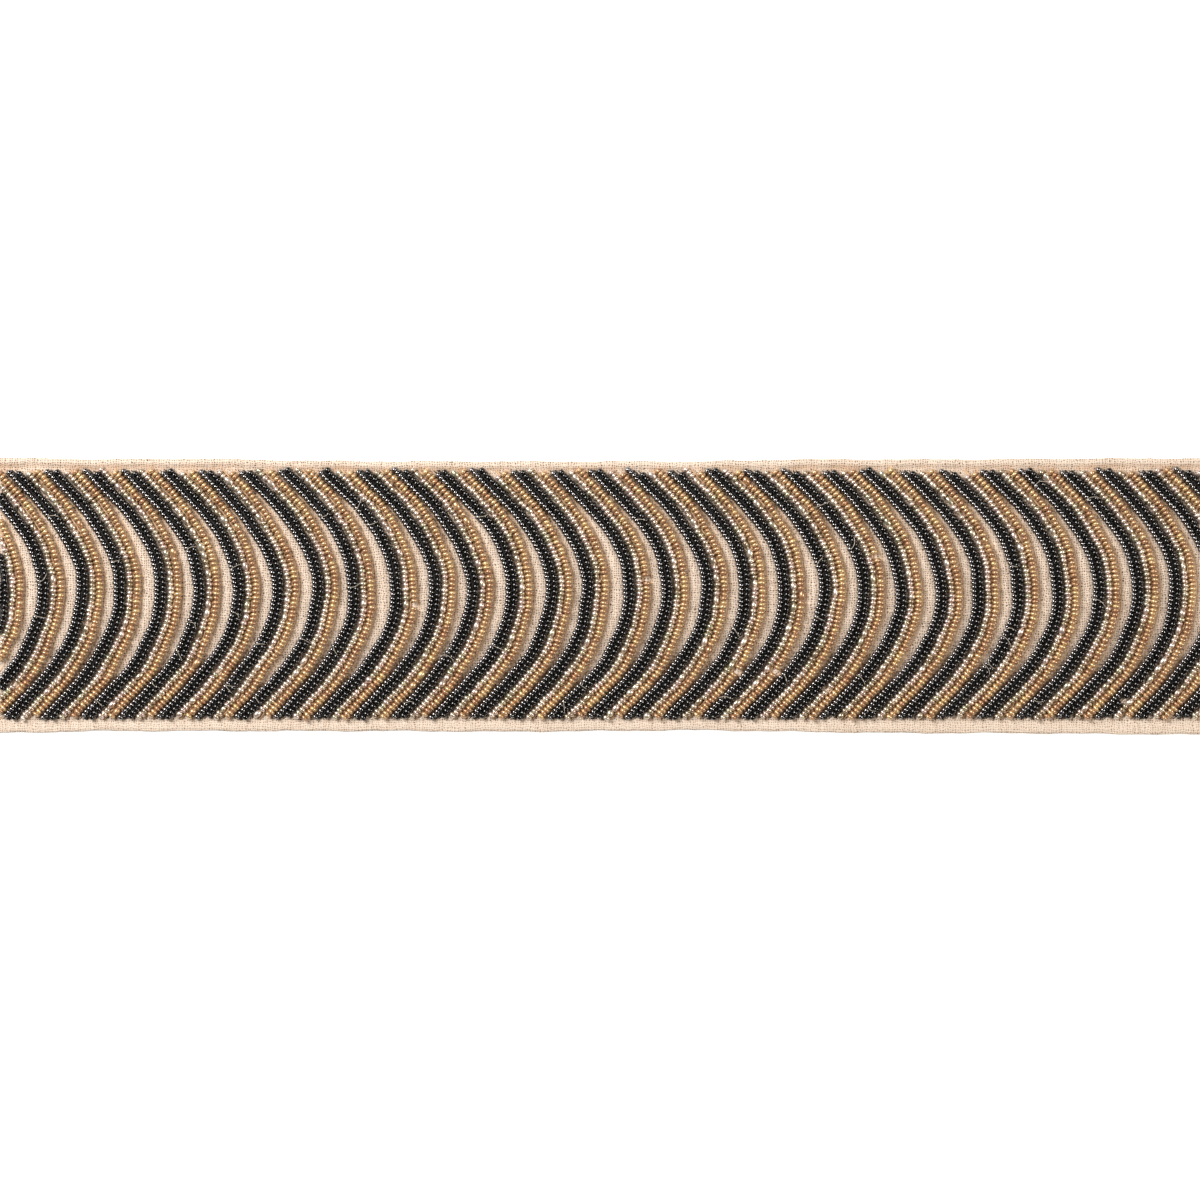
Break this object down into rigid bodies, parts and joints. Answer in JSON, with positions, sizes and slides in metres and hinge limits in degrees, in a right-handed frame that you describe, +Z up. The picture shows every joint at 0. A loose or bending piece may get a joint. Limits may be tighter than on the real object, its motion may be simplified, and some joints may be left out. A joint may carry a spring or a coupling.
{
  "type": "beaded tape trim",
  "caption": "Flat length of woven cotton tape trim with turned edges, its face covered by nested arcs of sewn seed beads in black, clear and gold.",
  "frame": {"origin": "middle of the flat underside, where the tape rests or is sewn on", "axes": "+X along the tape, towards the crowns of the arcs; +Y across the tape; +Z up out of the beaded face"},
  "size_m": [0.2838, 0.0644, 0.0026],
  "materials": {
    "ground_cloth": "matt natural cream cotton in a plain weave",
    "bead_bands": "rows of glossy glass seed beads, black beside clear and gold",
    "gunmetal_beads": "dark metallic coated glass seed beads with bright highlights",
    "jet_beads": "opaque jet black glass seed beads",
    "crystal_beads": "clear and silver lined glass seed beads over cream cloth",
    "gold_beads": "metallic gold to copper coated glass seed beads",
    "sewing_thread": "fine cream cotton thread"
  },
  "bodies": {
    "root": {"ground_tape": "ground_cloth", "bead_band_01": "bead_bands", "bead_band_02": "bead_bands", "bead_band_03": "bead_bands", "bead_band_04": "bead_bands", "bead_band_05": "bead_bands", "bead_band_06": "bead_bands", "bead_band_07": "bead_bands", "bead_band_08": "bead_bands", "bead_band_09": "bead_bands", "bead_band_10": "bead_bands", "bead_band_11": "bead_bands", "bead_band_12": "bead_bands", "bead_band_13": "bead_bands", "bead_band_14": "bead_bands", "bead_band_15": "bead_bands", "bead_band_16": "bead_bands", "bead_band_17": "bead_bands", "bead_band_18": "bead_bands", "bead_band_19": "bead_bands", "bead_band_20": "bead_bands", "bead_band_21": "bead_bands", "bead_band_22": "bead_bands", "bead_band_23": "bead_bands", "bead_band_24": "bead_bands", "bead_band_25": "bead_bands", "bead_band_26": "bead_bands", "bead_band_27": "bead_bands", "bead_band_28": "bead_bands", "bead_band_29": "bead_bands", "bead_band_30": "bead_bands", "bead_band_31": "bead_bands", "bead_band_32_far": "bead_bands", "bead_band_32_near": "bead_bands", "bead_band_33_far": "bead_bands", "bead_band_33_near": "bead_bands"}
  },
  "joints": []
}
